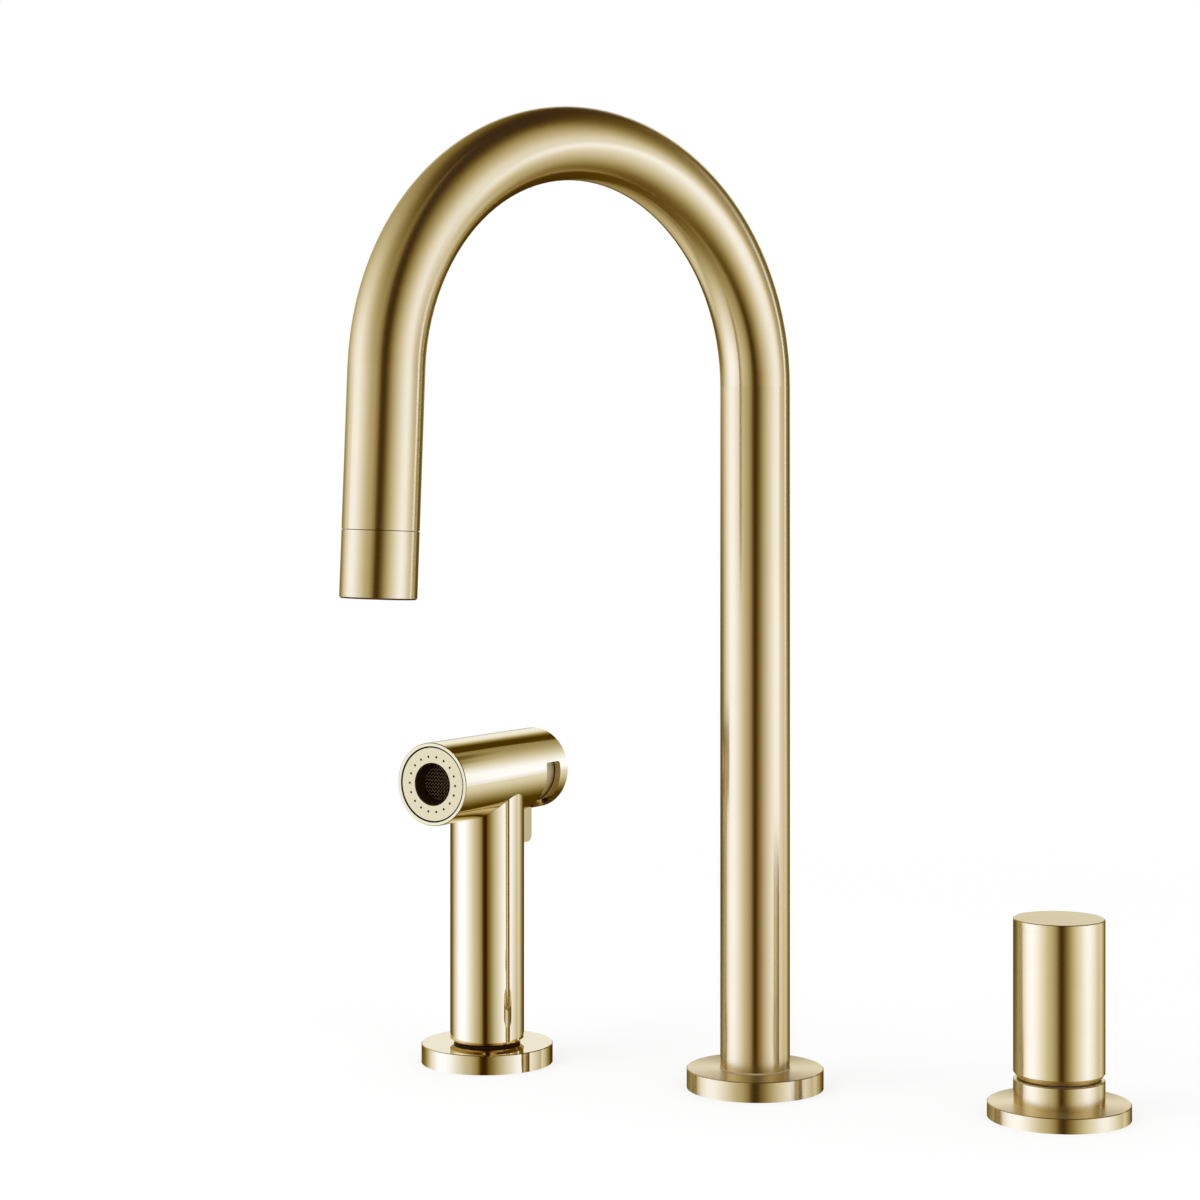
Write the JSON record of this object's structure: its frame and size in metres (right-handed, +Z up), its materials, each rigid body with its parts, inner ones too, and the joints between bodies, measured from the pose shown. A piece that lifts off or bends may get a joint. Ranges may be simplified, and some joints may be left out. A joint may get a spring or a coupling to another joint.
{
  "type": "kitchen faucet set",
  "caption": "Gooseneck kitchen faucet with a swivel spout, a separate cylindrical control and a pull-out hand spray, each standing in its own deck hole.",
  "frame": {"origin": "on the top of the worktop, on the axis of the spout's riser", "axes": "+Z up along the riser, +X from the hand spray towards the control, -Y towards the sink and the user"},
  "size_m": [0.2995, 0.2192, 0.4455],
  "materials": {
    "brushed_gold": "champagne gold, finely brushed",
    "polished_gold": "champagne gold, polished",
    "raw_brass": "machined",
    "stainless": "brushed",
    "dark_wire": "fine wire",
    "black_rubber": "matt",
    "black_plastic": "matt",
    "white_plastic": "satin",
    "ceramic": "lapped"
  },
  "bodies": {
    "deck": {"threaded_shanks": "raw_brass", "shank_nuts": "raw_brass", "steel_washers": "stainless", "rubber_washers": "black_rubber", "deck_gaskets": "black_rubber", "spout_rosette": "brushed_gold", "spout_post": "raw_brass", "spout_glide_ring": "white_plastic", "spout_orings": "black_rubber", "spout_bushes": "white_plastic", "control_rosette": "brushed_gold", "control_body": "raw_brass", "control_collar": "brushed_gold", "cartridge_nut": "raw_brass", "cartridge_housing": "white_plastic", "cartridge_base": "black_plastic", "fixed_disc": "ceramic", "spray_rosette": "polished_gold", "dock_base": "raw_brass", "dock_guide": "black_plastic"},
    "spout": {"spout_tube": "brushed_gold", "spout_screw": "stainless", "outlet_sleeve": "brushed_gold", "aerator_body": "black_plastic", "aerator_seal": "black_rubber"},
    "rotor": {"cartridge_rotor": "black_plastic", "lever_pin": "stainless"},
    "knob": {"control_lever": "stainless", "knob_insert": "black_plastic", "knob_shell": "brushed_gold", "knob_screw": "stainless"},
    "disc": {"moving_disc": "ceramic", "disc_driver": "black_plastic"},
    "hose_end": {"hose_swivel": "raw_brass", "swivel_seal": "black_rubber", "swivel_clip": "stainless"},
    "spray": {"spray_handle": "polished_gold", "handle_bush": "black_plastic", "check_valve": "white_plastic", "riser_tube": "black_plastic", "handle_top_bush": "black_plastic", "head_shell": "polished_gold", "face_plate": "polished_gold", "jet_sleeve": "black_plastic", "jet_screen": "dark_wire", "nozzle_manifold": "black_plastic", "shaft_bulkhead": "raw_brass", "bulkhead_seal": "black_rubber", "rear_cap": "polished_gold"},
    "diverter": {"valve_disc": "ceramic", "diverter_shaft": "stainless", "diverter_drum": "polished_gold", "drum_screw": "stainless", "diverter_tab": "polished_gold", "tab_screw": "stainless"}
  },
  "joints": [
    {"name": "spout_swivel", "type": "hinge", "parent": "deck", "child": "spout", "pos_m": [0, 0, 0.04], "axis": [0, 0, 1], "continuous": true},
    {"name": "knob_temperature", "type": "hinge", "parent": "deck", "child": "rotor", "pos_m": [0.1245, 0, 0.02], "axis": [0, 0, 1], "range_deg": [-50, 50]},
    {"name": "knob_flow", "type": "hinge", "parent": "rotor", "child": "knob", "pos_m": [0.1245, 0, 0.03365], "axis": [1, 0, 0], "range_deg": [0, 8]},
    {"name": "disc_slide", "type": "slide", "parent": "rotor", "child": "disc", "axis": [0, 1, 0], "range_m": [0, 0.0029]},
    {"name": "spray_pull", "type": "slide", "parent": "deck", "child": "hose_end", "axis": [0, 0, 1], "range_m": [0, 0.5]},
    {"name": "spray_turn", "type": "hinge", "parent": "hose_end", "child": "spray", "pos_m": [-0.12, 0, 0.02], "axis": [0, 0, 1], "continuous": true},
    {"name": "diverter_turn", "type": "hinge", "parent": "spray", "child": "diverter", "pos_m": [-0.12, 0, 0.12], "axis": [-0.1392, -0.9903, 0], "range_deg": [0, 88]}
  ],
  "couplings": [
    {"joint": "disc_slide", "follows": "knob_flow", "m_per_rad": 0.0202}
  ]
}
